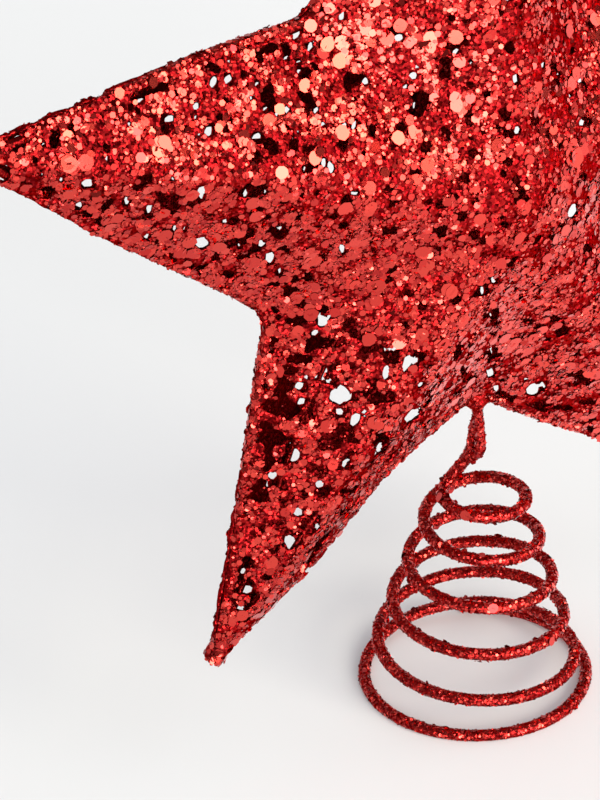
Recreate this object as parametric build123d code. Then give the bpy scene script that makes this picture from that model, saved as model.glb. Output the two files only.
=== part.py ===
from build123d import *
import math
import os
import random

# A hollow five-pointed star of wires and openwork web, on a stem that rises from a conical wire coil.
# Millimetres, +Z up, the star's front towards -Y, the origin on the coil's axis where the coil stands.

# Star frame: each reach runs from the star's centre to the point where the wires' axes would meet
arm_count = 5
tip_reach = 99.6
notch_reach = 44.0
half_depth = 19.0
edge_wire_diameter = 2.0
ridge_wire_diameter = 1.6
tip_cut = 5.0

# Rounded beads that close the tips where the wires are cut
bead_length = 2.0
bead_length_shares = (0.0, 0.6, 1.0)
bead_width_shares = (1.0, 0.85, 0.45)

# Web panels: flat nets between the wires
web_thickness = 1.2
web_clearance = 0.15
web_strand = 1.6
gap_pitch = 8.0
gap_least_width = 1.8
gap_sides = 6
gap_place_share = 0.07
gap_turn_share = 0.25
gap_least_share = 0.65

# Mounting coil: one wire, wound down from the stem to a last turn that lies flat
coil_wire_diameter = 2.4
coil_turns = 5.75
coil_top_reach = 8.0
coil_base_reach = 22.7
coil_height = 45.9
coil_flat_share = 0.13
coil_start_angle = 150.0
foot_flat_depth = 0.5
coil_samples_per_turn = 72

# Stem: the coil's upright end and a short wire lapped to it, which carries the star
stem_bend_rise = 4.4
stem_lap = 9.0
stem_length = 13.3
stem_wire_diameter = 2.2
stem_wire_rounding = 0.6
stem_clearance = 0.2

# Length by which a wire is made too long before its ends are trimmed
overrun = 8.0

# Sizes that follow from these
arm_turn = math.tau / arm_count
half_arm_turn = arm_turn / 2
top_arm_turn = math.tau / 4
gap_row_share = math.sin(math.tau / gap_sides)
bend_height = coil_height + stem_bend_rise
notch_height = bend_height + stem_length
star_height = notch_height + notch_reach
edge_wire_radius = edge_wire_diameter / 2
ridge_wire_radius = ridge_wire_diameter / 2
coil_wire_radius = coil_wire_diameter / 2
stem_wire_radius = stem_wire_diameter / 2
foot_height = coil_wire_radius - foot_flat_depth
stem_offset = coil_wire_radius + stem_wire_radius + stem_clearance
cut_reach = tip_reach - tip_cut

# Arms from the top one on, turning left seen from the front, with the names of their two sides in that turn
arms = {
    "top": ("left", "right"),
    "left": ("lower", "upper"),
    "lower_left": ("inner", "outer"),
    "lower_right": ("outer", "inner"),
    "right": ("upper", "lower"),
}
faces = {"front": -1, "rear": 1}


def outward(angle):
    """Unit vector from the star's centre at an angle in the star's plane."""
    return Vector(math.cos(angle), 0, math.sin(angle))


def sideways(angle):
    """Unit vector in the star's plane, square to the outward one, with the angle growing."""
    return Vector(-math.sin(angle), 0, math.cos(angle))


star_centre = Vector(0, 0, star_height)


def star_point(reach, angle):
    """Point of the star's middle plane at a reach and an angle."""
    return star_centre + outward(angle) * reach


def peak_point(face):
    """Point where the ridges of the front or rear face meet."""
    return star_centre + Vector(0, faces[face] * half_depth, 0)


def keep_side(solid, origin, direction):
    """The piece of a solid that lies on one side of a plane."""
    return split(solid, bisect_by=Plane(origin=origin, z_dir=direction), keep=Keep.TOP)


def straight_wire(start, end, diameter):
    """Round wire from start to end, overlong at both ends."""
    along = (end - start).normalized()
    length = (end - start).length + overrun * 2
    place = Plane(origin=start - along * overrun, z_dir=along)
    return place * Cylinder(diameter / 2, length, align=(Align.CENTER, Align.CENTER, Align.MIN))


def trim_at_tip(wire, arm_angle):
    """The wire cut square to its arm, short of the point of the tip."""
    return keep_side(wire, star_point(cut_reach, arm_angle), -outward(arm_angle))


def edge_wire(arm_angle, side):
    """Outline wire from a notch to a tip, mitred at the notch."""
    notch_angle = arm_angle + side * half_arm_turn
    notch = star_point(notch_reach, notch_angle)
    tip = star_point(tip_reach, arm_angle)
    wire = straight_wire(notch, tip, edge_wire_diameter)
    wire = keep_side(wire, notch, sideways(notch_angle) * -side)
    return trim_at_tip(wire, arm_angle)


def ridge_wire(arm_angle, face):
    """Ridge wire from a face's peak to a tip, mitred against its neighbours at the peak."""
    wire = straight_wire(peak_point(face), star_point(tip_reach, arm_angle), ridge_wire_diameter)
    for side in (-1, 1):
        wire = keep_side(wire, star_centre, sideways(arm_angle + side * half_arm_turn) * -side)
    return trim_at_tip(wire, arm_angle)


def tip_bead(arm_angle):
    """Rounded bead on the cut ends of the wires at a tip."""
    tip_half_angle = math.atan2(
        notch_reach * math.sin(half_arm_turn),
        tip_reach - notch_reach * math.cos(half_arm_turn),
    )
    half_width = tip_cut * math.tan(tip_half_angle) + edge_wire_radius
    half_thickness = half_depth * tip_cut / tip_reach + ridge_wire_radius
    sections = []
    for length_share, width_share in zip(bead_length_shares, bead_width_shares):
        origin = star_point(cut_reach + bead_length * length_share, arm_angle)
        place = Plane(origin=origin, x_dir=sideways(arm_angle), z_dir=outward(arm_angle))
        sections.append(place * Ellipse(half_width * width_share, half_thickness * width_share))
    return loft(sections, ruled=True)


def panel_inset(normal, middle_normal, wire_radius):
    """How far a panel's edge lies inside a corner line, clear of a wire and of its mirror image."""
    half_angle = math.acos(abs(normal.dot(middle_normal)))
    clear_of_mirror = (web_thickness / 2 + web_clearance) / math.tan(half_angle)
    return max(clear_of_mirror, wire_radius + web_clearance)


def inset_triangle(corners, insets):
    """Corners of a triangle moved in from its edges; inset n belongs to the edge after corner n."""
    first, second, third = corners
    double_area = (second - first).cross(third - first).length
    weights = []
    for index, inset in enumerate(insets):
        edge = corners[(index + 1) % 3] - corners[index]
        weights.append(edge.length * inset / double_area)
    moved = []
    for index in range(3):
        before, after = (index + 2) % 3, (index + 1) % 3
        corner = corners[index] * (1 - weights[index] - weights[before])
        moved.append(corner + corners[before] * weights[index] + corners[after] * weights[before])
    return moved


def edge_distance(point, start, end):
    """Distance of a flat point to the left of the line from start to end."""
    along = (end - start).normalized()
    return along.X * (point.Y - start.Y) - along.Y * (point.X - start.X)


def web_gaps(corners, seed):
    """Outlines of the irregular gaps in a flat triangle, on a staggered and jittered pattern."""
    dice = random.Random(seed)
    row_pitch = gap_pitch * gap_row_share
    place_jitter = gap_pitch * gap_place_share
    full_reach = (gap_pitch - place_jitter * 2 - web_strand) / 2
    rows = int(corners[2].Y / row_pitch) + 1
    columns = int(corners[1].X / gap_pitch) + 1
    outlines = []
    for row in range(rows):
        for column in range(columns):
            centre = Vector(
                (column + row % 2 / 2) * gap_pitch + dice.uniform(-1, 1) * place_jitter,
                (row + 1 / 2) * row_pitch + dice.uniform(-1, 1) * place_jitter,
            )
            room = min(
                edge_distance(centre, corners[index], corners[(index + 1) % 3]) for index in range(3)
            )
            reach = min(full_reach, room - web_strand)
            if reach < gap_least_width / 2:
                continue
            outline = []
            for corner in range(gap_sides):
                turn = math.tau * (corner + dice.uniform(-1, 1) * gap_turn_share) / gap_sides
                spread = reach * dice.uniform(gap_least_share, 1)
                outline.append(centre + Vector(math.cos(turn), math.sin(turn)) * spread)
            outlines.append(outline)
    return outlines


def web_panel(arm_angle, side, face, seed):
    """Flat net between a ridge wire, an outline wire and the valley that runs to the notch."""
    notch_angle = arm_angle + side * half_arm_turn
    peak = peak_point(face)
    tip = star_point(tip_reach, arm_angle)
    notch = star_point(notch_reach, notch_angle)
    normal = (tip - peak).cross(notch - peak).normalized()
    insets = (
        panel_inset(normal, sideways(arm_angle), ridge_wire_radius),
        panel_inset(normal, Vector(0, 1, 0), edge_wire_radius),
        panel_inset(normal, sideways(notch_angle), 0),
    )
    corners = inset_triangle((peak, tip, notch), insets)
    place = Plane(origin=corners[0], x_dir=corners[1] - corners[0], z_dir=normal)
    flat_corners = [place.to_local_coords(corner) for corner in corners]
    rim = Wire.make_polygon(flat_corners, close=True)
    gaps = [Wire.make_polygon(outline, close=True) for outline in web_gaps(flat_corners, seed)]
    net = extrude(Face(rim, gaps), amount=web_thickness / 2, both=True)
    return place * net, len(gaps)


def coil_point(turn):
    """Point of the coil wire's axis, by turns counted down from its top."""
    share = turn / coil_turns
    reach = coil_top_reach + (coil_base_reach - coil_top_reach) * share
    drop = min(share / (1 - coil_flat_share), 1)
    height = coil_height + (foot_height - coil_height) * drop
    angle = math.radians(coil_start_angle) + math.tau * turn
    return Vector(reach * math.cos(angle), reach * math.sin(angle), height)


def coil_direction(turn):
    """Direction of the coil wire, smoothed over an eighth of a turn to either side."""
    ahead = min(turn + 1 / 8, coil_turns)
    behind = max(turn - 1 / 8, 0)
    middle = (coil_point(ahead) - coil_point(behind)).normalized()
    angle = math.radians(coil_start_angle) + math.tau * turn
    around = Vector(-math.sin(angle), math.cos(angle), 0)
    level = math.sqrt(1 - middle.Z**2)
    return around * level + Vector(0, 0, middle.Z)


def biarc(start, start_direction, end, end_direction):
    """Two arcs that leave start and reach end in the given directions."""
    across = end - start
    turn = 2 * (1 - start_direction.dot(end_direction))
    lean = across.dot(start_direction + end_direction)
    handle = (math.sqrt(lean**2 + turn * across.dot(across)) - lean) / turn
    middle = (start + end + (start_direction - end_direction) * handle) / 2
    first = Edge.make_tangent_arc(start, start_direction, middle)
    return [first, Edge.make_tangent_arc(middle, first % 1, end)]


def coil_least_gap():
    """Least clear distance between the coil's turns, measured on points along its wire."""
    count = int(coil_turns * coil_samples_per_turn)
    points = [coil_point(coil_turns * index / count) for index in range(count + 1)]
    apart = coil_samples_per_turn // 2
    nearest = min(
        (points[first] - points[second]).length
        for first in range(count + 1)
        for second in range(first + apart, count + 1)
    )
    return nearest - coil_wire_diameter


def mounting_coil():
    """The coil with its upright stem end, one unbroken wire cut flat where it stands."""
    stem_top = Vector(0, stem_offset, bend_height + stem_lap)
    stem_foot = Vector(0, stem_offset, bend_height)
    down = Vector(0, 0, -1)
    edges = [Edge.make_line(stem_top, stem_foot)]
    edges += biarc(stem_foot, down, coil_point(0), coil_direction(0))
    quarters = round(coil_turns * 4)
    for quarter in range(quarters):
        start = coil_turns * quarter / quarters
        end = coil_turns * (quarter + 1) / quarters
        edges += biarc(coil_point(start), coil_direction(start), coil_point(end), coil_direction(end))
    path = Wire(edges)
    section = Plane(origin=stem_top, z_dir=down) * Circle(coil_wire_radius)
    wire = sweep(section, path=path)
    radii = [edge.radius for edge in path.edges() if edge.geom_type == GeomType.CIRCLE]
    print(f"coil: wire {path.length:.1f} mm long, tightest bend {min(radii):.2f} mm")
    print(f"coil: least gap to itself {coil_least_gap():.2f} mm")
    return keep_side(wire, Vector(0, 0, 0), Vector(0, 0, 1))


def stem_wire():
    """Short wire in front of the coil's stem end, up to the star's lower notch."""
    notch = star_point(notch_reach, -top_arm_turn)
    rise = star_point(tip_reach, half_arm_turn - top_arm_turn) - notch
    slope = abs(rise.Z / rise.X)
    underside = edge_wire_radius * math.sqrt(1 + slope**2) + stem_wire_radius * slope
    top = notch.Z - underside - stem_clearance
    place = Location((0, 0, bend_height))
    wire = place * Cylinder(
        stem_wire_radius, top - bend_height, align=(Align.CENTER, Align.CENTER, Align.MIN)
    )
    return fillet(wire.edges().group_by(Axis.Z)[0], stem_wire_rounding)


os.makedirs("parts", exist_ok=True)
pieces = {"mounting_coil": mounting_coil(), "stem_wire": stem_wire()}
gap_total = 0
for arm_index, (arm_name, (growing_side, falling_side)) in enumerate(arms.items()):
    arm_angle = top_arm_turn + arm_turn * arm_index
    pieces[f"tip_bead_{arm_name}"] = tip_bead(arm_angle)
    for face in faces:
        pieces[f"{face}_ridge_wire_{arm_name}"] = ridge_wire(arm_angle, face)
    for side, side_name in ((1, growing_side), (-1, falling_side)):
        pieces[f"edge_wire_{arm_name}_{side_name}"] = edge_wire(arm_angle, side)
        for face in faces:
            panel_name = f"{face}_web_{arm_name}_{side_name}"
            pieces[panel_name], gap_count = web_panel(arm_angle, side, face, panel_name)
            gap_total += gap_count

for piece_name, piece in pieces.items():
    export_step(piece, f"parts/{piece_name}.step")
print(f"{len(pieces)} pieces, {gap_total} gaps in the web, star centre {star_height:.1f} mm up")
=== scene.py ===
import math

import bpy
import numpy as np
from mathutils import Matrix, Vector, noise


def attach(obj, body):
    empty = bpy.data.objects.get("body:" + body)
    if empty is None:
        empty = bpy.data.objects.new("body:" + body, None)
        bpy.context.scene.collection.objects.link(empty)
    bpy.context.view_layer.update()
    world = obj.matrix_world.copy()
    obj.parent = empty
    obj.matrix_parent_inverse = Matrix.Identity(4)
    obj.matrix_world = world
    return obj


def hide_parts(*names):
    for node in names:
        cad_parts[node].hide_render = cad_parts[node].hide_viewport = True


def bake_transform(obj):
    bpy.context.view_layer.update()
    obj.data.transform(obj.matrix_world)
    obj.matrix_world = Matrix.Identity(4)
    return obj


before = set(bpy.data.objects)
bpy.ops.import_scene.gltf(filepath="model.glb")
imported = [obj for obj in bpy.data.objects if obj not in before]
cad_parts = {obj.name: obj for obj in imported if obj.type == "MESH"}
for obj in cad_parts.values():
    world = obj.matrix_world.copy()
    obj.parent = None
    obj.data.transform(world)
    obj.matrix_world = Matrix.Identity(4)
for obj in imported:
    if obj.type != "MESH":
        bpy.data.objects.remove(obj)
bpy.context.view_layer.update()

# A glitter star on a wire coil. Metres, +Z up, the star's front towards -Y, the coil standing on Z = 0.

# Star frame, as the wires' axes run
arm_sides = {
    "top": ("left", "right"),
    "left": ("lower", "upper"),
    "lower_left": ("inner", "outer"),
    "lower_right": ("outer", "inner"),
    "right": ("upper", "lower"),
}
arm_names = tuple(arm_sides)
arm_turn = math.tau / len(arm_names)
half_arm_turn = arm_turn / 2
top_arm_turn = math.tau / 4
tip_reach = 0.0996
tip_cut = 0.0050
notch_reach = 0.0440
half_depth = 0.0190
star_height = 0.1076
edge_wire_radius = 0.0010
ridge_wire_radius = 0.0005
edge_samples, ridge_samples = 150, 170
faces = {"front": -1.0, "rear": 1.0}

# Bends of the hand-made star in its plane: place from its centre, shift and how far the bend spreads
hand_bends = (
    ((-0.0947, 0.0308), (0.0, -0.0013), 0.022),
    ((-0.0259, 0.0356), (-0.0055, -0.0005), 0.009),
    ((-0.0200, -0.0570), (-0.0011, 0.0017), 0.012),
    ((0.0307, -0.0632), (0.0005, -0.0029), 0.014),
    ((-0.0560, 0.0360), (0.0, 0.0012), 0.016),
    ((0.0140, -0.0500), (0.0, -0.0008), 0.008),
    ((-0.0700, 0.0080), (-0.0003, -0.0014), 0.013),
    ((-0.0340, -0.0660), (0.0007, -0.0011), 0.010),
)

# Web sheets, laid over the wires
sheet_pitch = 0.00055
grid_margin = sheet_pitch * 2
slope_step = sheet_pitch / 4
outline_softness = sheet_pitch * 4
sheet_thickness = 0.0007
sheet_cover = 0.0010
rim_cover = 0.00045
rim_width = 0.0045
sheet_bump = 0.00040
sheet_bump_wave = 0.0020
ridge_rounding = 0.0022
centre_rounding, centre_reach = 0.0075, 0.052
valley_rounding = 0.0034
hole_wave = 0.0026
hole_fine_wave = 0.0012
hole_fine_share = 0.5
hole_share = 0.25
slit_wave = 0.0080
slit_near = 0.0010
slit_far = 0.0028
slit_level = 0.30
slit_end_share = 0.4

# See-through gaps by the photograph's pixels: across, down, width, height, and degrees if one leans
see_through = (
    (15, 142, 21, 17, -30), (1, 172, 16, 16), (90, 109, 10, 7, 20), (169, 119, 14, 10, 30),
    (87, 183, 16, 11), (79, 206, 10, 9, 30), (201, 242, 15, 13), (201, 192, 9, 14), (208, 131, 9, 11),
    (196, 106, 9, 9), (228, 79, 11, 12), (257, 138, 11, 11), (297, 34, 8, 18, 36), (311, 46, 7, 18, 25),
    (331, 167, 8, 13), (342, 17, 11, 10), (399, 38, 12, 7, 20), (413, 76, 10, 9), (270, 257, 12, 13),
    (322, 321, 11, 13), (300, 386, 11, 8), (301, 401, 9, 8), (340, 395, 23, 18), (340, 412, 10, 6, 30),
    (355, 419, 9, 14, 15), (386, 373, 7, 17, 8), (377, 450, 5, 27, 30), (406, 363, 8, 17, 12),
    (412, 415, 11, 22, 45), (490, 372, 10, 12, 10), (533, 389, 12, 18, 40), (572, 210, 10, 16, 8),
    (294, 455, 10, 14), (273, 475, 12, 8), (320, 484, 10, 8), (298, 512, 11, 9), (290, 542, 11, 13),
    (246, 590, 18, 10), (515, 80, 7, 14, -20), (243, 571, 7, 7), (43, 145, 8, 6), (140, 100, 8, 7),
    (98, 128, 6, 6), (83, 139, 5, 9, 10), (129, 125, 7, 7), (195, 117, 7, 7), (199, 134, 6, 7),
    (106, 159, 8, 6), (62, 180, 6, 10), (41, 173, 6, 9, 20), (99, 219, 7, 6), (126, 201, 8, 10),
    (148, 208, 7, 11), (138, 186, 11, 6), (172, 179, 6, 6), (146, 235, 8, 8), (174, 228, 6, 9),
    (185, 228, 6, 8), (256, 44, 8, 7), (290, 31, 6, 10, 30), (298, 62, 9, 6), (298, 70, 6, 7),
    (228, 62, 8, 6), (213, 83, 8, 14), (257, 84, 6, 7), (252, 97, 6, 10, 20), (265, 109, 7, 7),
    (277, 114, 6, 8), (287, 110, 8, 10), (316, 110, 7, 9), (324, 124, 7, 7), (297, 132, 7, 7),
    (293, 140, 8, 7), (245, 193, 7, 11, 20), (265, 193, 5, 8, 20), (304, 169, 7, 8), (278, 162, 7, 6),
    (225, 220, 8, 7), (279, 227, 6, 10, 45), (301, 230, 5, 9), (262, 243, 8, 7), (280, 270, 6, 7, 45),
    (342, 248, 7, 12, -25), (239, 245, 6, 7), (319, 316, 7, 9, -20), (329, 316, 6, 8),
    (259, 328, 5, 20), (315, 332, 11, 6), (305, 377, 7, 7), (325, 370, 7, 10), (320, 376, 10, 6, -20),
    (364, 413, 6, 16), (292, 443, 5, 11, 20), (345, 464, 6, 8), (267, 484, 5, 9), (366, 82, 7, 10, -30),
    (354, 125, 7, 10, 30), (344, 126, 8, 7), (417, 66, 8, 9), (406, 86, 8, 6, -20), (323, 162, 7, 10),
    (355, 192, 9, 9), (511, 5, 12, 7), (470, 62, 6, 7), (456, 50, 6, 8, 30), (542, 65, 7, 6),
    (557, 74, 7, 6), (579, 80, 8, 7), (569, 95, 7, 7), (517, 129, 7, 9), (581, 123, 7, 7),
    (492, 280, 10, 6, 40), (482, 290, 6, 9), (489, 315, 7, 5), (421, 384, 8, 6, -40), (497, 387, 8, 7),
    (543, 385, 6, 10, -30), (525, 379, 6, 6),
)

# Dark holes in the front alone, likewise
dark_holes = (
    (54, 137, 12, 18), (70, 122, 8, 10), (106, 145, 8, 16), (46, 191, 22, 12), (89, 211, 14, 8, -20),
    (145, 177, 14, 10), (170, 204, 22, 14, 30), (190, 202, 10, 9), (171, 230, 9, 14),
    (170, 258, 12, 8, 30), (178, 142, 10, 8), (268, 98, 16, 26), (304, 75, 16, 12, 30),
    (310, 103, 10, 20, -25), (211, 68, 18, 9, 10), (219, 118, 12, 10), (224, 129, 12, 12),
    (268, 144, 10, 12, -30), (293, 148, 10, 12), (309, 149, 14, 7, -20), (287, 28, 8, 12),
    (273, 152, 10, 8), (253, 190, 26, 14), (260, 206, 12, 9), (234, 220, 14, 10), (263, 217, 12, 7),
    (248, 230, 14, 8, 30), (228, 242, 14, 8), (239, 240, 14, 10), (278, 230, 18, 14),
    (282, 248, 12, 8, 30), (256, 249, 8, 8), (284, 200, 10, 7), (298, 216, 10, 7), (333, 216, 9, 8),
    (342, 224, 9, 8), (345, 200, 14, 12), (279, 272, 12, 8, 30), (229, 273, 11, 8), (289, 290, 16, 12),
    (238, 295, 14, 8, 10), (272, 282, 14, 7), (308, 276, 9, 10), (303, 302, 14, 10), (324, 309, 12, 8),
    (331, 291, 10, 7), (198, 272, 10, 8), (241, 257, 9, 8), (298, 320, 26, 12), (349, 323, 14, 14),
    (271, 341, 16, 12), (324, 341, 24, 12), (288, 370, 16, 10), (374, 346, 16, 7, -10),
    (284, 406, 30, 22), (307, 416, 18, 10, -20), (265, 425, 10, 10), (278, 437, 18, 12, 20),
    (327, 440, 20, 15), (286, 459, 18, 10), (311, 466, 12, 7), (323, 472, 10, 8), (339, 467, 12, 9),
    (389, 398, 14, 12), (343, 378, 10, 7), (352, 366, 8, 8), (417, 359, 8, 14), (257, 437, 8, 12),
    (278, 482, 18, 8), (261, 482, 10, 10), (340, 432, 10, 10), (257, 494, 30, 16),
    (324, 490, 16, 11, -15), (310, 522, 22, 13), (240, 508, 11, 13), (282, 525, 12, 8),
    (317, 544, 9, 32, 38), (304, 566, 8, 16, 35), (266, 577, 10, 8), (251, 582, 10, 7),
    (243, 606, 18, 8, -20), (255, 596, 10, 8), (357, 79, 12, 12), (420, 99, 20, 14), (347, 83, 9, 18),
    (371, 131, 10, 10), (345, 141, 13, 8), (400, 131, 9, 16), (312, 166, 14, 11), (413, 172, 12, 12),
    (388, 190, 12, 8), (441, 204, 13, 8), (395, 200, 12, 7), (455, 197, 10, 8), (422, 162, 8, 8),
    (453, 17, 10, 9), (468, 21, 10, 7), (464, 36, 9, 9), (453, 46, 16, 10), (470, 84, 10, 8),
    (488, 93, 9, 8), (499, 12, 10, 7), (551, 66, 9, 9), (555, 83, 14, 8, 20), (533, 123, 10, 8),
    (497, 128, 9, 7), (503, 173, 8, 8), (464, 177, 9, 9), (475, 201, 9, 9), (461, 215, 13, 8),
    (509, 161, 9, 7, 20), (582, 177, 9, 12), (586, 121, 10, 8), (517, 199, 9, 7), (547, 135, 8, 8),
    (437, 228, 18, 8), (482, 240, 8, 9), (437, 248, 8, 10), (392, 268, 12, 10), (388, 280, 8, 10),
    (407, 293, 13, 9), (421, 306, 9, 12, 20), (456, 300, 15, 8), (480, 289, 16, 12, -45),
    (491, 311, 26, 8, -25), (457, 349, 9, 16, 20), (492, 352, 16, 14, -30), (463, 370, 10, 12),
    (554, 318, 10, 10, -30), (561, 329, 14, 16, 30), (537, 324, 8, 8), (419, 355, 12, 10),
    (503, 395, 22, 12, 20), (543, 402, 14, 8), (582, 377, 18, 14), (590, 428, 10, 8),
    (585, 249, 10, 10), (562, 407, 22, 7, -10),
)
pixels_per_metre = 4900.0
hole_share_in_photo = {"front": 0.07, "rear": 0.03}
low_arm_hole_share = 0.30
low_arm_right, low_arm_top, low_arm_foot = 400, 330, 550
gap_roughness = 0.55
gap_rough_wave = 0.0014
gap_fray, gap_fray_wave = 0.5, 0.0008
gap_margin_share = 0.40
gap_size_share = 1.08

# Glitter flakes: width, its variety, spread of tilt, height over what they lie on, corners, tints
big_flake = (0.0024, 0.12, 0.06, 0.00022, 8, (0.6, 1.0))
middle_flake = (0.0015, 0.30, 0.16, 0.00016, 7, (0.4, 1.0))
small_flake = (0.00092, 0.35, 0.19, 0.00012, 6, (0.3, 1.0))
fine_flake = (0.00050, 0.30, 0.42, 0.00009, 4, (0.2, 1.0))
dust_flake = (0.00042, 0.25, 0.34, 0.00002, 4, (0.0, 0.5))
speck_flake = (0.00062, 0.30, 0.26, 0.00003, 5, (0.6, 1.0))
frill_flake = (0.0010, 0.40, 0.70, 0.00020, 5, (0.0, 0.7))
loose_flake = (0.0017, 0.25, 0.14, 0.00008, 8, (0.2, 0.9))
flake_depth_share = 0.10
flake_overhang = 0.00045
clump_wave, clump_fine_wave = 0.0042, 0.0018
clump_gain, clump_fine_gain = 2.4, 1.4
clump_least, clump_most = 0.12, 3.0
under_gain, under_slope = 1.0, 0.2
flake_tints = 16
tilt_shape, tilt_scale = 2.0, 0.5
corner_shares = (0.88, 1.08)
lift_shares = (0.6, 1.3)
palette_spread_share = 0.3
flakes_on_arm_face = ((fine_flake, 5400), (small_flake, 1850), (middle_flake, 170), (big_flake, 44))
flakes_inside = ((fine_flake, 900),)
flakes_on_edge = ((dust_flake, 1700), (speck_flake, 900), (small_flake, 400), (frill_flake, 130))
flakes_on_ridge = ((dust_flake, 400),)
flakes_on_tip = ((dust_flake, 320), (small_flake, 70), (frill_flake, 12), (middle_flake, 6))
flakes_on_coil = ((dust_flake, 20000), (speck_flake, 6400), (frill_flake, 200), (loose_flake, 40))
flakes_on_stem = ((dust_flake, 850), (speck_flake, 170), (frill_flake, 16))

# Mounting coil and stem; the coil leans a little, and carries the stem with it
coil_turns = 5.75
coil_top_reach = 0.0071
coil_base_reach = 0.0227
coil_height = 0.0459
coil_flat_share = 0.13
coil_start_angle = math.radians(150.0)
coil_core_radius = 0.00112
coil_lean = np.array([0.0011, -0.00065, 0.0])
coil_foot_lean = np.array([-0.0005, 0.0003, 0.0])
coil_bulge = 0.0007
coil_flattening = 0.075
coil_flattening_angle = math.radians(54.0)
coil_sag = 0.0015
coil_top_sag = 0.0024
coil_top_lift = 0.0010
coil_top_lift_turn, coil_top_lift_spread = 0.75, 0.3
coil_top_sag_turns = 0.4
foot_height = 0.0007
stem_offset = 0.0025
bend_height = 0.0510
stem_top_offset = 0.0009
stem_lap = 0.0072
stem_end_taper = 0.0030
notch_height = 0.0636
stem_core_radius = 0.00100
stem_neck_radius = 0.00094
stem_neck_from, stem_neck_to = 0.0545, 0.0585
stem_flare = 0.0013
stem_flare_from, stem_flare_to = 0.0586, 0.0612
coil_samples_per_turn = 110
upright_samples, bend_samples, stem_samples = 24, 28, 60
bend_pull_share = 0.9
stem_end_height = 0.0475
stem_settle_share = 0.6
stem_into_star = 0.0010
end_radius_share = 0.35
parallel_limit = 0.9
tube_sides = 16
tube_end_share = 0.6
wire_lump_wave = 0.0014
wire_lump_share = 0.11
stem_lump_share = 0.22
edge_lump_wave = 0.0026
edge_lump_share = 0.20

# Tips: lumpy ends that close the arms
tip_start = 0.0064
tip_length = 0.0058
tip_radius = 0.0019
tip_end_share = 0.30
tip_squareness = 4
tip_samples = 26

# Seeds of the noise fields and of the flakes' random draws
seed_steps = (17.3, 5.1, 9.7)
face_seeds = {"front": 100, "rear": 200}
hole_seed, hole_fine_seed, slit_seed, bump_seed = 0, 1, 2, 3
gap_seed, clump_seed, clump_fine_seed, fray_seed = 4, 5, 6, 7
coil_wire_seed, coil_flake_seed = 300, 301
stem_wire_seed, stem_flake_seed = 310, 311
arm_flake_seed, edge_wire_seed, ridge_wire_seed = 400, 420, 450
seeds_per_arm = 4
tip_seed, tip_flake_seed = 500, 510

# Finishes: reds of the film and of the fine glitter's cells, from dull to bright, and how rough they are
film_tints = ((0.26, 0.002, 0.005), (0.57, 0.026, 0.021), (0.74, 0.058, 0.041))
film_middle = 0.5
film_roughness = 0.16
lacquer_weight, lacquer_roughness = 0.3, 0.10
edge_tint = (0.80, 0.20, 0.17, 1)
glitter_dark = (0.12, 0.001, 0.003)
glitter_roughness = 0.32
web_cell, web_cell_tilt, web_bright = 0.00042, 1.1, (0.40, 0.013, 0.014)
wire_cell, wire_cell_tilt, wire_bright = 0.0004, 0.7, (0.42, 0.020, 0.018)

# Camera, fitted to the photograph's 600 by 800 frame
image_wide, image_high = 600, 800
focal_pixels = 2250.0
sensor_size = 36.0
camera_place = np.array([-0.2078, -0.2858, 0.2745])
camera_yaw = math.radians(-30.88)
camera_pitch = math.radians(30.96)
camera_roll = math.radians(-2.89)
nearest_seen = 0.01

# Lamps: degrees round from the front and up, distance, width, height, brightness against white, tint
light_target = np.array([0.0, 0.0, 0.09])
lamps = {
    "front_soft": (-10, 14, 3.2, 2.2, 1.75, 8.6, (1.0, 0.96, 0.88)),
    "key": (27, 25, 3.5, 1.35, 1.35, 9.0, (1.0, 0.92, 0.74)),
    "right_soft": (76, 12, 3.2, 1.7, 1.5, 3.0, (1.0, 0.97, 0.94)),
    "top_soft": (33, 50, 3.2, 1.5, 1.5, 1.2, (1.0, 1.0, 1.0)),
}
white_lamp_power = 4.0

# Floor and surroundings: levels against white, and where they change from one to the next
pale = 0.855
floor_colour = (0.65, 0.67, 0.70)
floor_roughness, floor_gloss = 0.8, 0.1
floor_glow = 0.065
# For the camera the floor glows more towards the back, between these two Y places: painted light that fills
# the star's cast shadow there.
shade_from, shade_full = 0.02, 0.12
painted_fill_glow = 0.08
# For mirrored rays the floor glows far more towards the right, between these two X places: a painted
# reflection, brighter than the floor the camera sees, that lights up the flakes facing the floor.
mirror_left, mirror_right = -0.07, 0.05
painted_reflection_glow = 0.48
floor_reach = 3.0
ambient_level = 0.70
horizon_level = 0.24
overhead_level = 0.20
dark_from, dark_full = 0.05, 0.50
backdrop_level = 0.60
backdrop_from, backdrop_full = -0.10, 0.50
backdrop_fade, backdrop_top = 0.50, 0.90

scene = bpy.context.scene
star_centre = np.array([0.0, 0.0, star_height])
notch_out = notch_reach * math.cos(half_arm_turn)
notch_aside = notch_reach * math.sin(half_arm_turn)
bay_slope = (1 - notch_out / tip_reach) / notch_aside
inward_slope = half_depth * math.hypot(1 / tip_reach, bay_slope)


def link(name, data):
    """New object in the scene."""
    made = bpy.data.objects.new(name, data)
    scene.collection.objects.link(made)
    return made


def unit(vectors):
    """Vectors along the last axis, scaled to length one."""
    return vectors / np.linalg.norm(vectors, axis=-1, keepdims=True)


def noise_at(points, wave, seed):
    """Smooth noise, about -1 to 1, at points, for a wave length and a seed."""
    shift = Vector([seed * step for step in seed_steps])
    return np.array([noise.noise(Vector(point) / wave + shift) for point in points])


# Camera

def camera_axes():
    """Directions to the right, up and ahead of the camera."""
    ahead = np.array([-math.sin(camera_yaw) * math.cos(camera_pitch),
                      math.cos(camera_yaw) * math.cos(camera_pitch), -math.sin(camera_pitch)])
    level = np.array([math.cos(camera_yaw), math.sin(camera_yaw), 0.0])
    upright = np.cross(level, ahead)
    right = level * math.cos(camera_roll) + upright * math.sin(camera_roll)
    up = upright * math.cos(camera_roll) - level * math.sin(camera_roll)
    return right, up, ahead


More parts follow.
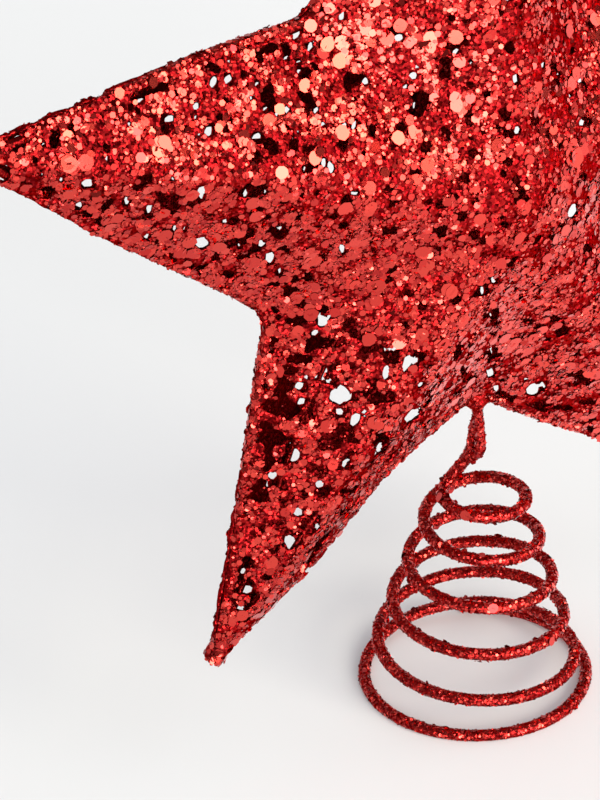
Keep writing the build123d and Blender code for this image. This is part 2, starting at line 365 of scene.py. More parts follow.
def pixels_of(points):
    """Pixels of the photograph's frame, across and down, where points are seen."""
    right, up, ahead = camera_axes()
    offset = points - camera_place
    scale = focal_pixels / (offset @ ahead)
    across = image_wide / 2 + (offset @ right) * scale
    down = image_high / 2 - (offset @ up) * scale
    return np.stack([across, down], axis=-1)


def photo_camera():
    """Camera at the photograph's angle."""
    right, up, ahead = camera_axes()
    data = bpy.data.cameras.new("camera")
    data.sensor_width = sensor_size
    data.lens = focal_pixels * sensor_size / max(image_wide, image_high)
    data.clip_start = nearest_seen
    made = link("camera", data)
    turn = Matrix((right, up, -ahead)).transposed().to_4x4()
    turn.translation = Vector(camera_place)
    made.matrix_world = turn
    scene.camera = made


# Materials

def new_material(name):
    """Node material with its tree and shader."""
    material = bpy.data.materials.new(name)
    material.use_nodes = True
    tree = material.node_tree
    return material, tree, tree.nodes["Principled BSDF"]


def flake_material():
    """Red metallised film under a clear lacquer; each flake has its own tint."""
    material, tree, shader = new_material("flake_film")
    tint = tree.nodes.new("ShaderNodeAttribute")
    tint.attribute_name = "tint"
    ramp = tree.nodes.new("ShaderNodeValToRGB")
    stops = ramp.color_ramp.elements
    stops.new(film_middle)
    for stop, colour in zip(stops, film_tints):
        stop.color = (*colour, 1)
    tree.links.new(tint.outputs["Fac"], ramp.inputs["Fac"])
    tree.links.new(ramp.outputs["Color"], shader.inputs["Base Color"])
    shader.inputs["Metallic"].default_value = 1.0
    shader.inputs["Roughness"].default_value = film_roughness
    shader.inputs["Coat Weight"].default_value = lacquer_weight
    shader.inputs["Coat Roughness"].default_value = lacquer_roughness
    return material


def vector_node(tree, operation, *sources):
    """Node that joins vectors by one operation."""
    node = tree.nodes.new("ShaderNodeVectorMath")
    node.operation = operation
    for source, socket in zip(sources, node.inputs):
        tree.links.new(source, socket)
    return node


def glitter_material(name, cell, tilt, bright):
    """Fine glitter: cells that each lean their own way, in tints between two reds."""
    material, tree, shader = new_material(name)
    nodes, links = tree.nodes, tree.links
    place = nodes.new("ShaderNodeTexCoord")
    cells = nodes.new("ShaderNodeTexVoronoi")
    cells.inputs["Scale"].default_value = 1 / cell
    links.new(place.outputs["Object"], cells.inputs["Vector"])
    centred = vector_node(tree, "SUBTRACT", cells.outputs["Color"])
    centred.inputs[1].default_value = (0.5, 0.5, 0.5)
    lean = vector_node(tree, "SCALE", centred.outputs["Vector"])
    lean.inputs["Scale"].default_value = tilt
    surface = nodes.new("ShaderNodeNewGeometry")
    leant = vector_node(tree, "ADD", surface.outputs["Normal"], lean.outputs["Vector"])
    normal = vector_node(tree, "NORMALIZE", leant.outputs["Vector"])
    links.new(normal.outputs["Vector"], shader.inputs["Normal"])
    split = nodes.new("ShaderNodeSeparateColor")
    links.new(cells.outputs["Color"], split.inputs["Color"])
    ramp = nodes.new("ShaderNodeValToRGB")
    ramp.color_ramp.elements[0].color = (*glitter_dark, 1)
    ramp.color_ramp.elements[1].color = (*bright, 1)
    links.new(split.outputs["Red"], ramp.inputs["Fac"])
    links.new(ramp.outputs["Color"], shader.inputs["Base Color"])
    shader.inputs["Metallic"].default_value = 1.0
    shader.inputs["Specular Tint"].default_value = edge_tint
    shader.inputs["Roughness"].default_value = glitter_roughness
    return material


flake_film = flake_material()
web_glitter = glitter_material("web_glitter", web_cell, web_cell_tilt, web_bright)
wire_glitter = glitter_material("wire_glitter", wire_cell, wire_cell_tilt, wire_bright)


# Meshes

def mesh_piece(name, points, corners, sizes, material, smooth=False):
    """New object from points, the faces' corners in one run and the faces' corner counts."""
    mesh = bpy.data.meshes.new(name)
    mesh.vertices.add(len(points))
    mesh.vertices.foreach_set("co", np.ascontiguousarray(points, np.float32).ravel())
    mesh.loops.add(len(corners))
    mesh.loops.foreach_set("vertex_index", np.ascontiguousarray(corners, np.int32))
    mesh.polygons.add(len(sizes))
    starts = np.concatenate(([0], np.cumsum(sizes)[:-1]))
    mesh.polygons.foreach_set("loop_start", starts.astype(np.int32))
    mesh.update(calc_edges=True)
    mesh.polygons.foreach_set("use_smooth", np.full(len(sizes), smooth))
    mesh.materials.append(material)
    return link(name, mesh)


class Flakes:
    """Flat many-sided flakes, gathered kind by kind into one mesh."""

    def __init__(self, seed):
        self.dice = np.random.default_rng(seed)
        self.points, self.corners, self.sizes, self.tints, self.spots = [], [], [], [], []
        self.count = 0

    def add(self, places, normals, kind):
        """Flakes at places, each at its own tilt from the normal there, closed below by a low point."""
        width, variety, tilt, lift, sides, (darkest, brightest) = kind
        dice, count = self.dice, len(places)
        spread = tilt * dice.gamma(tilt_shape, tilt_scale, (count, 1))
        up = unit(normals + dice.normal(0, 1, (count, 3)) * spread)
        aside = unit(np.cross(up, dice.normal(0, 1, (count, 3))))
        across = np.cross(up, aside)
        sizes = dice.uniform(1 - variety, 1 + variety, (count, 1))
        radii = width / 2 * sizes * dice.uniform(*corner_shares, (count, sides))
        turns = math.tau * np.arange(sides) / sides
        ring_x = (radii * np.cos(turns))[..., None]
        ring_y = (radii * np.sin(turns))[..., None]
        centres = places + up * lift * dice.uniform(*lift_shares, (count, 1))
        rings = centres[:, None] + aside[:, None] * ring_x + across[:, None] * ring_y
        low_points = centres - up * width * flake_depth_share
        tints = dice.integers(int(darkest * flake_tints), int(brightest * flake_tints), count)
        points = np.concatenate([rings, low_points[:, None]], axis=1)
        clear = points[..., 2].min(axis=1) > 0
        points, tints, count = points[clear], tints[clear], int(clear.sum())
        self.points.append(points.reshape(-1, 3))
        order = np.arange(sides)
        after = (order + 1) % sides
        sides_down = np.stack([after, order, np.full(sides, sides)], axis=1).ravel()
        pattern = np.concatenate([order, sides_down])
        first = self.count + np.arange(count) * (sides + 1)
        self.corners.append((first[:, None] + pattern).ravel())
        self.sizes.append(np.tile([sides] + [3] * sides, count))
        self.tints.append(np.repeat(tints / (flake_tints - 1), sides + 1))
        spot_x = np.append(np.cos(turns), 0.0)[pattern]
        spot_y = np.append(np.sin(turns), 0.0)[pattern]
        self.spots.append(self.palette_spots(tints, spot_x, spot_y))
        self.count += count * (sides + 1)

    def coat(self, path, radii, kinds):
        """Flakes of several kinds all along a wire."""
        for kind, count in kinds:
            self.add(*places_along(path, radii, count, self.dice), kind)

    def palette_spots(self, tints, spot_x, spot_y):
        """Map places that put each flake in its tint's cell of a square palette."""
        cells = math.isqrt(flake_tints)
        spread = palette_spread_share / cells
        column, row = tints % cells, tints // cells
        place_x = (column[:, None] + 0.5) / cells + spot_x * spread
        place_y = (row[:, None] + 0.5) / cells + spot_y * spread
        return np.stack([place_x, place_y], axis=-1).reshape(-1, 2)

    def piece(self, name, slot):
        """The flakes as one object with its finish."""
        made = mesh_piece(name, np.concatenate(self.points), np.concatenate(self.corners),
                          np.concatenate(self.sizes), flake_film)
        tint = made.data.attributes.new("tint", "FLOAT", "POINT")
        tint.data.foreach_set("value", np.concatenate(self.tints).astype(np.float32))
        spots = made.data.uv_layers.new(name="OFBake")
        spots.data.foreach_set("uv", np.concatenate(self.spots).astype(np.float32).ravel())
        return made


# Star shape

def bent(points):
    """Points of the even star, moved as the hand-made one is bent in its plane."""
    moved = np.array(points, float)
    across, rise = moved[..., 0].copy(), moved[..., 2] - star_height
    for (place_x, place_z), (shift_x, shift_z), spread in hand_bends:
        near = np.exp(-((across - place_x) ** 2 + (rise - place_z) ** 2) / (2 * spread ** 2))
        moved[..., 0] += shift_x * near
        moved[..., 2] += shift_z * near
    return moved


def soft_least(first, second, width):
    """The lesser of two fields, rounded where they cross."""
    share = np.clip(0.5 + 0.5 * (second - first) / width, 0, 1)
    return second * (1 - share) + first * share - width * share * (1 - share)


def bay_depth(out, aside):
    """Depth of one arm's face at places along and beside its ridge."""
    along = half_depth * (1 - out / tip_reach)
    fall = half_depth * bay_slope * aside
    near = np.clip(1 - out / centre_reach, 0, 1)
    return soft_least(along - fall, along + fall, ridge_rounding + centre_rounding * near)


def star_depth(across, rise):
    """Depth of the star's face at places in its plane, from its centre, with rounded ridges and valleys."""
    reach = np.hypot(across, rise)
    turn = np.arctan2(rise, across) - top_arm_turn
    turn = np.abs(turn - np.round(turn / arm_turn) * arm_turn)
    own = bay_depth(reach * np.cos(turn), reach * np.sin(turn))
    next_turn = arm_turn - turn
    following = bay_depth(reach * np.cos(next_turn), reach * np.sin(next_turn))
    return -soft_least(-own, -following, valley_rounding)


def depth_slope(across, rise, step=slope_step):
    """Slopes of the star's depth along both directions of its plane."""
    along_x = (star_depth(across + step, rise) - star_depth(across - step, rise)) / (2 * step)
    along_z = (star_depth(across, rise + step) - star_depth(across, rise - step)) / (2 * step)
    return along_x, along_z


def cover_at(depth):
    """How far the web's middle lies outside the wires' axes, less beside the outline."""
    inward = np.clip(depth / inward_slope / rim_width, 0, 1)
    return rim_cover + (sheet_cover - rim_cover) * inward


def star_point(reach, angle):
    """Point of the star's middle plane at a reach and an angle."""
    return star_centre + np.array([math.cos(angle), 0.0, math.sin(angle)]) * reach


# Web sheets

def star_grid():
    """Places of an even three-cornered grid over the star's plane, and its triangles."""
    row_pitch = sheet_pitch * math.sin(math.tau / 6)
    columns = int(2 * tip_reach / sheet_pitch) + 2
    rows = int(2 * tip_reach / row_pitch) + 2
    row, column = np.meshgrid(np.arange(rows), np.arange(columns), indexing="ij")
    across = (column + row % 2 / 2) * sheet_pitch - tip_reach
    rise = row * row_pitch - tip_reach
    index = row * columns + column
    here, right = index[:-1, :-1], index[:-1, 1:]
    above, above_right = index[1:, :-1], index[1:, 1:]
    odd = (row[:-1, :-1] % 2).astype(bool)[..., None]
    first = np.where(odd, np.stack([here, right, above_right], -1), np.stack([here, right, above], -1))
    second = np.where(odd, np.stack([here, above_right, above], -1),
                      np.stack([right, above_right, above], -1))
    triangles = np.concatenate([first.reshape(-1, 3), second.reshape(-1, 3)])
    return across.ravel(), rise.ravel(), triangles


def gap_field(pixels, gaps, roughness, margin=0.0):
    """Above zero outside the gaps, grown by a margin in pixels, and below zero inside them."""
    field = np.full(len(pixels), 1.0)
    for across, down, wide, high, *lean in gaps:
        turn = math.radians(lean[0]) if lean else 0.0
        offset = pixels - np.array([across, down])
        beside = offset[:, 0] * math.cos(turn) + offset[:, 1] * math.sin(turn)
        along = offset[:, 1] * math.cos(turn) - offset[:, 0] * math.sin(turn)
        half_wide, half_high = wide / 2 * gap_size_share + margin, high / 2 * gap_size_share + margin
        inside = np.hypot(beside / half_wide, along / half_high)
        field = np.minimum(field, inside + roughness - 1)
    return field


def web_field(face, places, middle, depth, seed):
    """Above zero where the web has material: inside the outline, outside its holes, slits and gaps."""
    pixels = pixels_of(middle)
    edges = noise_at(places, gap_rough_wave, seed + gap_seed) * gap_roughness
    frayed = edges + noise_at(places, gap_fray_wave, seed + fray_seed) * gap_fray
    rough = noise_at(places, hole_wave, seed + hole_seed)
    rough = rough + noise_at(places, hole_fine_wave, seed + hole_fine_seed) * hole_fine_share
    level = np.quantile(rough, 1 - hole_share)
    in_photo = ((pixels > 0) & (pixels < np.array([image_wide, image_high]))).all(axis=1)
    level = np.where(in_photo, np.quantile(rough, 1 - hole_share_in_photo[face]), level)
    picked = np.full(len(places), 1.0)
    if face == "front":
        across, down = pixels[:, 0], pixels[:, 1]
        low_arm = (across < low_arm_right) & (down > low_arm_top) & (down < low_arm_foot)
        level = np.where(low_arm, np.quantile(rough, 1 - low_arm_hole_share), level)
        picked = gap_field(pixels, dark_holes, frayed)
    inward = depth / inward_slope
    slit_noise = noise_at(places, slit_wave, seed + slit_seed)
    beside_edge = np.minimum(inward - slit_near, slit_far - inward) / (slit_far - slit_near) * 2
    slit_rim = (1 - np.clip(beside_edge, 0, 1)) * slit_end_share
    slits = np.where(beside_edge > 0, slit_level - slit_noise + slit_rim, 1.0)
    outline = inward / outline_softness
    gaps = gap_field(pixels, see_through, edges)
    return np.minimum.reduce([level - rough, picked, slits, outline, gaps])


def clip_to_field(places, triangles, field):
    """Triangles that hold material, with their outer corners drawn back to the field's zero line."""
    inside = field > 0
    kept = triangles[inside[triangles].any(axis=1)]
    edges = np.concatenate([kept[:, [0, 1]], kept[:, [1, 2]], kept[:, [2, 0]]])
    edges = np.concatenate([edges, edges[:, ::-1]])
    crossing = edges[inside[edges[:, 0]] & ~inside[edges[:, 1]]]
    within, beyond = crossing[:, 0], crossing[:, 1]
    share = field[within] / (field[within] - field[beyond])
    meet = places[within] + (places[beyond] - places[within]) * share[:, None]
    total = np.zeros_like(places)
    count = np.zeros(len(places))
    np.add.at(total, beyond, meet)
    np.add.at(count, beyond, 1)
    moved = places.copy()
    moved[count > 0] = total[count > 0] / count[count > 0, None]
    return moved, kept


def rim_edges(triangles):
    """Edges that belong to one triangle only, in that triangle's direction."""
    edges = np.concatenate([triangles[:, [0, 1]], triangles[:, [1, 2]], triangles[:, [2, 0]]])
    keys = np.sort(edges, axis=1)
    _, back, count = np.unique(keys, axis=0, return_inverse=True, return_counts=True)
    return edges[count[back.ravel()] == 1]


def sheet_piece(name, outer, inner, triangles):
    """Closed sheet between its outer and inner points, with walls along its rims."""
    used, local = np.unique(triangles, return_inverse=True)
    local = local.reshape(-1, 3)
    count = len(used)
    rims = rim_edges(local)
    walls = np.stack([rims[:, 1], rims[:, 0], rims[:, 0] + count, rims[:, 1] + count], axis=1)
    corners = np.concatenate([local.ravel(), (local[:, ::-1] + count).ravel(), walls.ravel()])
    sizes = np.concatenate([np.full(2 * len(local), 3), np.full(len(walls), 4)])
    return mesh_piece(name, np.concatenate([outer[used], inner[used]]), corners, sizes, web_glitter, True)


def places_on(points, normals, density, triangles, count, dice):
    """Random places on triangles, by area and density, with the normals there."""
    first, second, third = (points[triangles[:, corner]] for corner in range(3))
    areas = np.linalg.norm(np.cross(second - first, third - first), axis=1)
    weights = areas * density[triangles].mean(axis=1)
    picked = dice.choice(len(triangles), count, p=weights / weights.sum())
    one, two = dice.uniform(0, 1, (2, count, 1))
    one, two = np.where(one + two > 1, 1 - one, one), np.where(one + two > 1, 1 - two, two)
    shares = np.stack([1 - one - two, one, two], axis=1)
    corners = triangles[picked]
    places = (points[corners] * shares).sum(axis=1)
    return places, unit((normals[corners] * shares).sum(axis=1))


def outside_gaps(places, normals, kind):
    """The places, with their normals, where a kind of flake leaves the see-through gaps free."""
    margin = kind[0] / 2 * pixels_per_metre * gap_margin_share
    free = gap_field(pixels_of(places), see_through, 0.0, margin) > 0
    return places[free], normals[free]


def inside_outline(places, normals, kind):
    """The places, with their normals, where a kind of flake doesn't reach over the star's outline."""
    slope = inward_slope + (sheet_cover - rim_cover) / rim_width
    inward = (np.abs(places[:, 1]) - rim_cover - sheet_thickness / 2) / slope
    clear = inward > kind[0] / 2 - flake_overhang
    return places[clear], normals[clear]


def web_middle(side, across, rise, depth):
    """Middle of the web's thickness at places in the star's plane."""
    return bent(np.stack([across, side * (depth + cover_at(depth)), rise], axis=1) + star_centre)


def build_face(face, seed):
    """Web sheets and flakes of the front or the rear, one of each to an arm."""
    side = faces[face]
    across, rise, triangles = star_grid()
    depth = star_depth(across, rise)
    near = depth > -grid_margin
    triangles = triangles[near[triangles].all(axis=1)]
    flat_places = np.stack([across, depth, rise], axis=1)
    middle = web_middle(side, across, rise, depth)
    field = np.full(len(across), -1.0)
    field[near] = web_field(face, flat_places[near], middle[near], depth[near], seed)
    flat, triangles = clip_to_field(np.stack([across, rise], axis=1), triangles, field)
    across, rise = flat[:, 0], flat[:, 1]
    depth = star_depth(across, rise)
    along_x, along_z = depth_slope(across, rise)
    normals = unit(np.stack([-along_x, np.ones_like(along_x) * side, -along_z], axis=1))
    middle = web_middle(side, across, rise, depth)
    used = np.unique(triangles)
    bump = np.zeros(len(across))
    bump[used] = noise_at(middle[used], sheet_bump_wave, seed + bump_seed) * sheet_bump
    clumps = np.ones(len(across))
    clumps[used] += noise_at(middle[used], clump_wave, seed + clump_seed) * clump_gain
    clumps[used] += noise_at(middle[used], clump_fine_wave, seed + clump_fine_seed) * clump_fine_gain
    clumps = np.clip(clumps, clump_least, clump_most)
    crowding = 1 + under_gain * np.clip(-normals[:, 2] / under_slope, 0, 1)
    outer = middle + normals * (sheet_thickness / 2 + bump)[:, None]
    inner = middle - normals * sheet_thickness / 2
    if side > 0:
        triangles = triangles[:, ::-1]
    centres = flat[triangles].mean(axis=1)
    turns = np.arctan2(centres[:, 1], centres[:, 0]) - top_arm_turn
    arm_of = np.round(turns / arm_turn).astype(int) % len(arm_names)
    for arm, arm_name in enumerate(arm_names):
        own = triangles[arm_of == arm]
        sheet = sheet_piece(f"{face}_web_{arm_name}", outer, inner, own)
        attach(sheet, "star")
        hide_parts(*[f"{face}_web_{arm_name}_{side_name}" for side_name in arm_sides[arm_name]])
        flakes = Flakes(seed + arm)
        for kind, count in flakes_on_arm_face:
            tried = int(count * crowding[own].mean())
            spots = places_on(outer, normals, clumps * crowding, own, tried, flakes.dice)
            flakes.add(*inside_outline(*outside_gaps(*spots, kind), kind), kind)
        for kind, count in flakes_inside:
            spots = places_on(inner, -normals, clumps, own, count, flakes.dice)
            flakes.add(*outside_gaps(*spots, kind), kind)
        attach(flakes.piece(f"{face}_flakes_{arm_name}", "web_glitter"), "star")


# Wires

def frames_along(path):
    """Directions along a path and two directions square to it, carried along without twist."""
    ahead = unit(np.gradient(path, axis=0))
    aside = np.zeros_like(path)
    start = np.array([1.0, 0.0, 0.0])
    if abs(start @ ahead[0]) > parallel_limit:
        start = np.array([0.0, 1.0, 0.0])
    aside[0] = unit(start - ahead[0] * (start @ ahead[0]))
    for index in range(1, len(path)):
        carried = aside[index - 1] - ahead[index] * (aside[index - 1] @ ahead[index])
        aside[index] = unit(carried)
    return ahead, aside, np.cross(ahead, aside)


def tube_piece(name, path, radii, lump_wave, lump_share, seed):
    """Closed lumpy tube along a path, flat where it stands on the floor."""
    ahead, aside, across = frames_along(path)
    turns = math.tau * np.arange(tube_sides) / tube_sides
    out = aside[:, None] * np.cos(turns)[:, None] + across[:, None] * np.sin(turns)[:, None]
    rings = path[:, None] + out * radii[:, None, None]
    lumps = noise_at(rings.reshape(-1, 3), lump_wave, seed).reshape(len(path), tube_sides)
    rings = rings + out * (lumps * radii[:, None] * lump_share)[..., None]
    rings[..., 2] = np.maximum(rings[..., 2], 0.0)
    ends = np.stack([path[0] - ahead[0] * radii[0] * tube_end_share,
                     path[-1] + ahead[-1] * radii[-1] * tube_end_share])
    points = np.concatenate([rings.reshape(-1, 3), ends])
    spokes = np.arange(tube_sides)
    following = (spokes + 1) % tube_sides
    last = (len(path) - 1) * tube_sides
    ring = np.arange(0, last, tube_sides)[:, None]
    quads = np.stack([ring + spokes, ring + following,
                      ring + tube_sides + following, ring + tube_sides + spokes], axis=-1)
    first_cap = np.stack([following, spokes, np.full(tube_sides, len(points) - 2)], axis=1)
    last_cap = np.stack([last + spokes, last + following, np.full(tube_sides, len(points) - 1)], axis=1)
    corners = np.concatenate([quads.ravel(), first_cap.ravel(), last_cap.ravel()])
    sizes = np.concatenate([np.full(quads.size // 4, 4), np.full(2 * tube_sides, 3)])
    return mesh_piece(name, points, corners, sizes, wire_glitter, True)


def places_along(path, radii, count, dice):
    """Random places round a wire, with the normals there."""
    ahead, aside, across = frames_along(path)
    lengths = np.concatenate([[0.0], np.cumsum(np.linalg.norm(np.diff(path, axis=0), axis=1))])
    at = np.interp(dice.uniform(0, lengths[-1], count), lengths, np.arange(len(path)))
    before = np.minimum(at.astype(int), len(path) - 2)
    share = (at - before)[:, None]
    centre = path[before] * (1 - share) + path[before + 1] * share
    turn = dice.uniform(0, math.tau, (count, 1))
    out = unit(aside[before] * np.cos(turn) + across[before] * np.sin(turn))
    return centre + out * radii[before, None], out


def line_between(start, end, count):
    """Evenly spaced points from start to end."""
    return start + (end - start) * np.linspace(0, 1, count)[:, None]


def leaning(path):
    """Path of the coil, leaning further the higher it is, up to the coil's top."""
    rise = np.clip(path[:, 2:] / coil_height, 0, 1)
    return path + coil_lean * rise + coil_foot_lean * (1 - rise)


def coil_path():
    """The coil wire's axis from its upright stem end down to the end of its flat last turn."""
    turn = np.linspace(0, coil_turns, int(coil_turns * coil_samples_per_turn) + 1)
    share = turn / coil_turns
    reach = coil_top_reach + (coil_base_reach - coil_top_reach) * share
    reach = reach + coil_bulge * np.sin(math.pi * share) ** 0.5
    drop = np.minimum(share / (1 - coil_flat_share), 1)
    height = coil_height + (foot_height - coil_height) * drop
    sag = coil_sag * (1 - share) + coil_top_sag * np.exp(-turn / coil_top_sag_turns)
    lift = coil_top_lift * np.exp(-((turn - coil_top_lift_turn) / coil_top_lift_spread) ** 2)
    height = np.maximum(height - sag + lift, foot_height)
    angle = coil_start_angle + math.tau * turn
    winding = np.stack([reach * np.cos(angle), reach * np.sin(angle), height], axis=1)
    away = np.array([math.cos(coil_flattening_angle), math.sin(coil_flattening_angle), 0.0])
    winding = winding - away * (coil_flattening * share * (winding @ away + reach))[:, None]
    stem_top = np.array([0.0, stem_top_offset, bend_height + stem_lap])
    stem_foot = np.array([0.0, stem_offset, bend_height])
    straight = line_between(stem_top, stem_foot, upright_samples)
    onward = unit(winding[1] - winding[0])
    pull = np.linalg.norm(winding[0] - stem_foot) * bend_pull_share
    along = np.linspace(0, 1, bend_samples + 2)[1:-1, None]
    bend = (stem_foot * (1 + 2 * along) * (1 - along) ** 2 + winding[0] * along ** 2 * (3 - 2 * along)
            + np.array([0.0, 0.0, -pull]) * along * (1 - along) ** 2
            - onward * pull * along ** 2 * (1 - along))
    return leaning(np.concatenate([straight, bend, winding]))


def tapered(from_end):
    """Share of a wire's radius that is left near its rounded end."""
    return end_radius_share + (1 - end_radius_share) * np.sqrt(1 - (1 - from_end) ** 2)


def coil_pieces():
    """The coil's wire and its flakes, with their transforms applied to their meshes."""
    path = coil_path()
    from_end = np.clip((bend_height + stem_lap - path[:, 2]) / stem_end_taper, 0, 1)
    radii = coil_core_radius * tapered(from_end)
    wire = tube_piece("coil_wire", path, radii, wire_lump_wave, wire_lump_share, coil_wire_seed)
    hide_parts("mounting_coil")
    flakes = Flakes(coil_flake_seed)
    flakes.coat(path, radii, flakes_on_coil)
    coat = flakes.piece("coil_flakes", "coil_glitter")
    for piece in (wire, coat):
        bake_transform(piece)


def stem_pieces():
    """The short wire that carries the star, with its flakes, thick with glue where it meets the star."""
    rise = np.linspace(stem_end_height, notch_height + stem_into_star, stem_samples)
    upward = coil_path()[:upright_samples + bend_samples][::-1]
    lapped = np.minimum(rise, bend_height)
    beside = np.zeros((len(rise), 2))
    for axis in (0, 1):
        at_bend = np.interp(bend_height, upward[:, 2], upward[:, axis])
        beside[:, axis] = np.interp(lapped, upward[:, 2], upward[:, axis]) - at_bend
    settle = np.clip((bend_height - rise) / (bend_height - stem_end_height), 0, 1)
    beside[:, 1] += stem_offset * stem_settle_share * settle
    path = np.concatenate([beside, rise[:, None]], axis=1)
    fade = np.clip((notch_height - rise) / (notch_height - bend_height), 0, 1) ** 0.5
    path = path + coil_lean * fade[:, None]
    radii = np.interp(rise, (stem_neck_from, stem_neck_to), (stem_core_radius, stem_neck_radius))
    into_star = np.clip((rise - stem_flare_from) / (stem_flare_to - stem_flare_from), 0, 1)
    from_end = np.clip((rise - rise[0]) / stem_end_taper, 0, 1)
    radii = radii * tapered(from_end) + stem_flare * into_star ** 2
    wire = tube_piece("stem_core", path, radii, wire_lump_wave, stem_lump_share, stem_wire_seed)
    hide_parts("stem_wire")
    flakes = Flakes(stem_flake_seed)
    flakes.coat(path, radii, flakes_on_stem)
    coat = flakes.piece("stem_flakes", "coil_glitter")
    for piece in (wire, coat):
        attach(piece, "stem")


def star_wire(name, path, radius, flakes, kinds, seed):
    """One lumpy wire of the star's frame in place of its node, with its share of flakes."""
    path = bent(path)
    radii = np.full(len(path), radius)
    wire = tube_piece(name, path, radii, edge_lump_wave, edge_lump_share, seed)
    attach(wire, "star")
    for kind, count in kinds:
        flakes.add(*outside_gaps(*places_along(path, radii, count, flakes.dice), kind), kind)
    return wire


def frame_pieces():
    """Outline and ridge wires of each arm, with their flakes."""
    for arm, arm_name in enumerate(arm_names):
        angle = top_arm_turn + arm_turn * arm
        flakes = Flakes(arm_flake_seed + arm)
        tip = star_point(tip_reach - tip_cut, angle)
        for side_name, side in zip(arm_sides[arm_name], (1, -1)):
            notch = star_point(notch_reach, angle + side * half_arm_turn)
            path = line_between(notch, tip, edge_samples)
            name = f"edge_wire_{arm_name}_{side_name}"
            wire = star_wire(f"{name}_coated", path, edge_wire_radius, flakes, flakes_on_edge,
                             edge_wire_seed + arm * seeds_per_arm + side)
            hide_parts(name)
        for face, side in faces.items():
            path = line_between(star_centre, tip, ridge_samples)
            path[:, 1] = side * star_depth(path[:, 0], path[:, 2] - star_height)
            name = f"{face}_ridge_wire_{arm_name}"
            wire = star_wire(f"{name}_coated", path, ridge_wire_radius, flakes, flakes_on_ridge,
                             ridge_wire_seed + arm * seeds_per_arm + int(side))
            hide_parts(name)
        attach(flakes.piece(f"edge_flakes_{arm_name}", "frame_glitter"), "star")


def tip_pieces():
    """Blunt lumpy end of each arm, crusted with flakes."""
    for arm, arm_name in enumerate(arm_names):
        angle = top_arm_turn + arm_turn * arm
        start = star_point(tip_reach - tip_start, angle)
        end = star_point(tip_reach - tip_start + tip_length, angle)
        path = bent(line_between(start, end, tip_samples))
        share = np.linspace(0, 1, len(path))
        swell = np.sqrt(1 - (2 * share - 1) ** tip_squareness)
        radii = tip_radius * (tip_end_share + (1 - tip_end_share) * swell)
        blob = tube_piece(f"tip_end_{arm_name}", path, radii, edge_lump_wave, edge_lump_share,
                          tip_seed + arm)
        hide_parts(f"tip_bead_{arm_name}")
        flakes = Flakes(tip_flake_seed + arm)
        flakes.coat(path, radii, flakes_on_tip)
        coat = flakes.piece(f"tip_flakes_{arm_name}", "bead_glitter")
        for piece in (blob, coat):
            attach(piece, "star")


# Floor and light

def mapped(tree, value, from_low, from_high, to_low, to_high):
    """Socket that carries a value from one range to another and stays within the second."""
    node = tree.nodes.new("ShaderNodeMapRange")
    node.interpolation_type = "SMOOTHSTEP"
    sockets = ("From Min", "From Max", "To Min", "To Max")
    for name, number in zip(sockets, (from_low, from_high, to_low, to_high)):
        node.inputs[name].default_value = number
    tree.links.new(value, node.inputs["Value"])
    return node.outputs["Result"]


def joined(tree, operation, first, second):
    """Socket that carries two values joined by one operation."""
    node = tree.nodes.new("ShaderNodeMath")
    node.operation = operation
    tree.links.new(first, node.inputs[0])
    tree.links.new(second, node.inputs[1])
    return node.outputs[0]


def chosen(tree, share, value, other):
    """Socket that carries one value where a share is one and another where it is none."""
    node = tree.nodes.new("ShaderNodeMix")
    node.data_type = "FLOAT"
    tree.links.new(share, node.inputs[0])
    other_input, value_input = 2, 3
    for place, source in ((value_input, value), (other_input, other)):
        if isinstance(source, float):
            node.inputs[place].default_value = source
        else:
            tree.links.new(source, node.inputs[place])
    return node.outputs[0]


def seen_rays(tree):
    """Socket that is one for the rays that show a surface: from the camera, mirrored or passed through."""
    rays = tree.nodes.new("ShaderNodeLightPath")
    seen = rays.outputs["Is Camera Ray"]
    for kind in ("Is Glossy Ray", "Is Transmission Ray"):
        seen = joined(tree, "MAXIMUM", seen, rays.outputs[kind])
    return seen


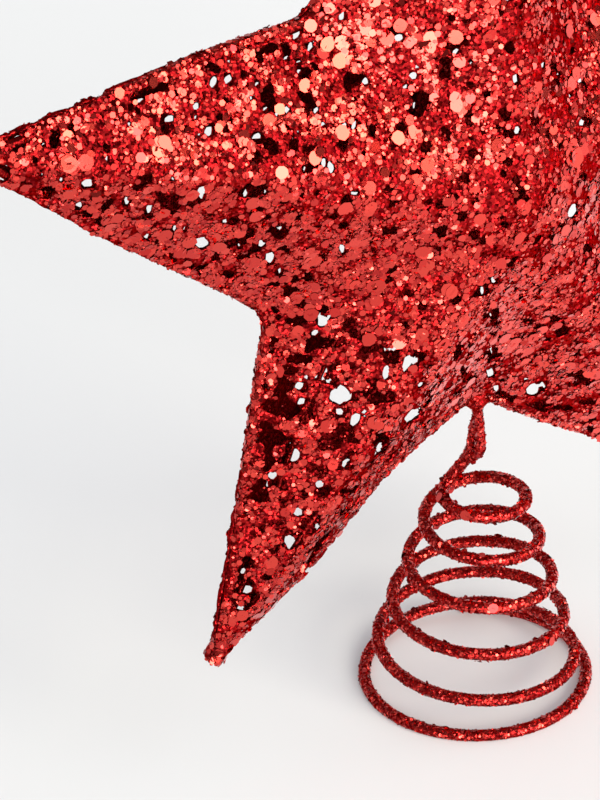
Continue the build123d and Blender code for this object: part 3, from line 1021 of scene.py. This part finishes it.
def floor():
    """Pale floor, lifted to the background's level as the camera and the flakes see it, with painted light:
    for the camera it glows more towards the back, over the star's shadow, and for mirrored rays far more
    towards the right, a painted reflection in the flakes.
    """
    material, tree, shader = new_material("pale_floor")
    shader.inputs["Base Color"].default_value = (*floor_colour, 1)
    shader.inputs["Roughness"].default_value = floor_roughness
    shader.inputs["Specular IOR Level"].default_value = floor_gloss
    shader.inputs["Emission Color"].default_value = (1, 1, 1, 1)
    place = tree.nodes.new("ShaderNodeNewGeometry")
    split = tree.nodes.new("ShaderNodeSeparateXYZ")
    tree.links.new(place.outputs["Position"], split.inputs["Vector"])
    # Painted light: camera rays see the floor glow more towards the back, filling the star's shadow.
    painted_shadow_fill = mapped(tree, split.outputs["Y"], shade_from, shade_full, floor_glow, floor_glow + painted_fill_glow)
    # Painted reflection: mirrored rays see the floor glow far more towards the right than the camera does.
    mirrored = mapped(tree, split.outputs["X"], mirror_left, mirror_right, floor_glow, painted_reflection_glow)
    rays = tree.nodes.new("ShaderNodeLightPath")
    glow = chosen(tree, rays.outputs["Is Camera Ray"], painted_shadow_fill, mirrored)
    tree.links.new(joined(tree, "MULTIPLY", seen_rays(tree), glow), shader.inputs["Emission Strength"])
    points = np.array([[-1, -1, 0], [1, -1, 0], [1, 1, 0], [-1, 1, 0]]) * floor_reach
    mesh_piece("floor", points, np.arange(4), np.array([4]), material)


def lamp(name, around, above, distance, wide, high, brightness, tint):
    """Soft lamp that faces the star."""
    around, above = math.radians(around), math.radians(above)
    level = math.cos(above)
    out = np.array([level * math.sin(around), -level * math.cos(around), math.sin(above)])
    data = bpy.data.lights.new(name, "AREA")
    data.shape = "RECTANGLE"
    data.size = wide
    data.size_y = high
    data.energy = brightness * white_lamp_power * wide * high
    data.color = tint
    made = link(name, data)
    made.location = light_target + out * distance
    made.rotation_euler = Vector(-out).to_track_quat("-Z", "Y").to_euler()
    made.visible_camera = False


def studio():
    """Soft lamps in dim surroundings with a pale backdrop behind, in front of a plain pale background."""
    world = bpy.data.worlds.new("studio")
    scene.world = world
    world.use_nodes = True
    tree = world.node_tree
    back = tree.nodes["Background"]
    place = tree.nodes.new("ShaderNodeTexCoord")
    split = tree.nodes.new("ShaderNodeSeparateXYZ")
    tree.links.new(place.outputs["Generated"], split.inputs["Vector"])
    dim = mapped(tree, split.outputs["Z"], dark_from, dark_full, horizon_level, overhead_level)
    behind = mapped(tree, split.outputs["Y"], backdrop_from, backdrop_full, 0.0, backdrop_level)
    below_top = mapped(tree, split.outputs["Z"], backdrop_fade, backdrop_top, 1.0, 0.0)
    lit = joined(tree, "ADD", dim, joined(tree, "MULTIPLY", behind, below_top))
    rays = tree.nodes.new("ShaderNodeLightPath")
    around = chosen(tree, rays.outputs["Is Glossy Ray"], lit, ambient_level)
    backdrop = chosen(tree, rays.outputs["Is Camera Ray"], pale, around)
    tree.links.new(backdrop, back.inputs["Strength"])
    back.inputs["Color"].default_value = (1, 1, 1, 1)
    for name, setting in lamps.items():
        lamp(name, *setting)


for face, seed in face_seeds.items():
    build_face(face, seed)
frame_pieces()
tip_pieces()
coil_pieces()
stem_pieces()
floor()
studio()
photo_camera()
scene.view_settings.view_transform = "Standard"
